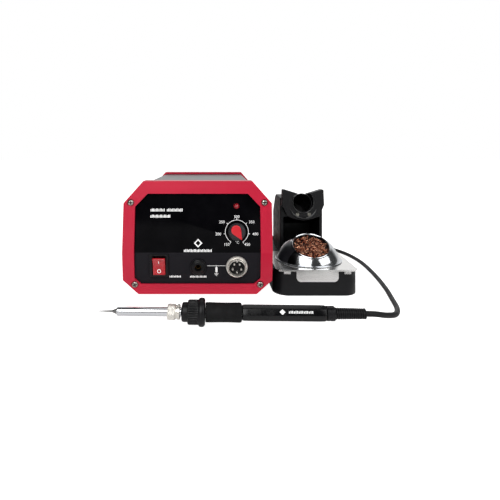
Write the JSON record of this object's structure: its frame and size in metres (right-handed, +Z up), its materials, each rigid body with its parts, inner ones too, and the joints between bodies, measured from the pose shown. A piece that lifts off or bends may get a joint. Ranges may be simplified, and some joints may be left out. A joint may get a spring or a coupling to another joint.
{
  "type": "soldering iron station",
  "caption": "Temperature-controlled soldering station: eight-sided power unit with a V-shaped front, iron stand with a domed brass-wool tip cleaner, and a corded iron lying in front.",
  "frame": {"origin": "on the bench, under the middle of the set without its lead", "axes": "+X to the right seen from the front, +Y towards the back, +Z up"},
  "size_m": [0.2576, 0.2716, 0.1028],
  "materials": {
    "red_paint": "satin red paint, fine orange peel",
    "sleeve_paint": "satin black powder coat",
    "panel_gloss": "glossy black overlay, satin lower half",
    "black_plastic": "moulded, fine spark-eroded texture",
    "knob_plastic": "dark grey, moulded",
    "pointer_red": "semi-gloss",
    "rocker_red": "glossy translucent red",
    "led_red": "clear red epoxy lens",
    "rubber_black": "matt",
    "lead_rubber": "matt jacket",
    "chrome_plate": "bright plated",
    "steel": "satin",
    "brass": "turned",
    "wool": "curled copper-brown shavings",
    "aluminium": "satin",
    "board": "solder mask",
    "lamination": "varnished laminations",
    "winding": "polyester tape",
    "heater_ceramic": "white alumina"
  },
  "bodies": {
    "station": {"front_bezel": "red_paint", "rear_bezel": "red_paint", "case_sleeve": "sleeve_paint", "rear_panel": "sleeve_paint", "front_panel": "panel_gloss", "power_switch_body": "black_plastic", "ground_jack_body": "black_plastic", "iron_socket_insert": "black_plastic", "mains_inlet": "black_plastic", "fuse_holder": "black_plastic", "indicator_led": "led_red", "station_foot_1": "rubber_black", "station_foot_2": "rubber_black", "station_foot_3": "rubber_black", "station_foot_4": "rubber_black", "iron_lead": "lead_rubber", "lead_coil": "lead_rubber", "iron_socket_shell": "chrome_plate", "lead_plug": "chrome_plate", "plug_ring": "chrome_plate", "front_screw_1": "chrome_plate", "front_screw_2": "chrome_plate", "front_screw_3": "chrome_plate", "front_screw_4": "chrome_plate", "socket_pin_1": "chrome_plate", "socket_pin_2": "chrome_plate", "socket_pin_3": "chrome_plate", "socket_pin_4": "chrome_plate", "socket_pin_5": "chrome_plate", "rear_screw_1": "steel", "rear_screw_2": "steel", "rear_screw_3": "steel", "rear_screw_4": "steel", "ground_jack_contact": "brass", "heat_sink": "aluminium", "potentiometer_body": "aluminium", "control_board": "board", "transformer_core": "lamination", "transformer_winding": "winding"},
    "rocker": {"power_rocker": "rocker_red"},
    "knob": {"temperature_knob": "knob_plastic", "knob_pointer": "pointer_red", "potentiometer_shaft": "aluminium"},
    "fuse_carrier": {"fuse_cap": "black_plastic"},
    "stand": {"stand_base": "black_plastic", "stand_tower": "black_plastic", "iron_rest": "black_plastic", "rest_tube": "steel"},
    "cleaner": {"cleaner_plate": "steel", "cleaner_dome": "chrome_plate", "brass_wool": "wool"},
    "iron": {"iron_tip": "steel", "heating_element": "heater_ceramic", "tip_sleeve": "chrome_plate", "front_collar": "black_plastic", "rubber_grip": "rubber_black", "iron_handle": "black_plastic", "strain_relief": "rubber_black"},
    "tip_nut": {"sleeve_nut": "chrome_plate"}
  },
  "joints": [
    {"name": "power_rocker_turn", "type": "hinge", "parent": "station", "child": "rocker", "pos_m": [-0.0714, -0.05606, 0.02753], "axis": [-1, 0, 0], "range_deg": [0, 24]},
    {"name": "temperature_turn", "type": "hinge", "parent": "station", "child": "knob", "pos_m": [-0.0017, -0.05462, 0.0574], "axis": [0, -0.9923, 0.1236], "range_deg": [0, 298]},
    {"name": "fuse_cap_turn", "type": "hinge", "parent": "station", "child": "fuse_carrier", "pos_m": [-0.061, 0.1181, 0.03], "axis": [0, 1, 0], "range_deg": [0, 90]},
    {"name": "stand_lift", "type": "slide", "parent": "station", "child": "stand", "axis": [0, 0, 1], "range_m": [0, 0.04]},
    {"name": "cleaner_lift", "type": "slide", "parent": "stand", "child": "cleaner", "axis": [0, -0.6, 0.8], "range_m": [0, 0.04]},
    {"name": "iron_lift", "type": "slide", "parent": "station", "child": "iron", "axis": [0, 0, 1], "range_m": [0, 0.05]},
    {"name": "nut_turn", "type": "hinge", "parent": "iron", "child": "tip_nut", "pos_m": [-0.0519, -0.1164, 0.01044], "axis": [-0.9999, 0, 0.0105], "range_deg": [0, 720]}
  ]
}
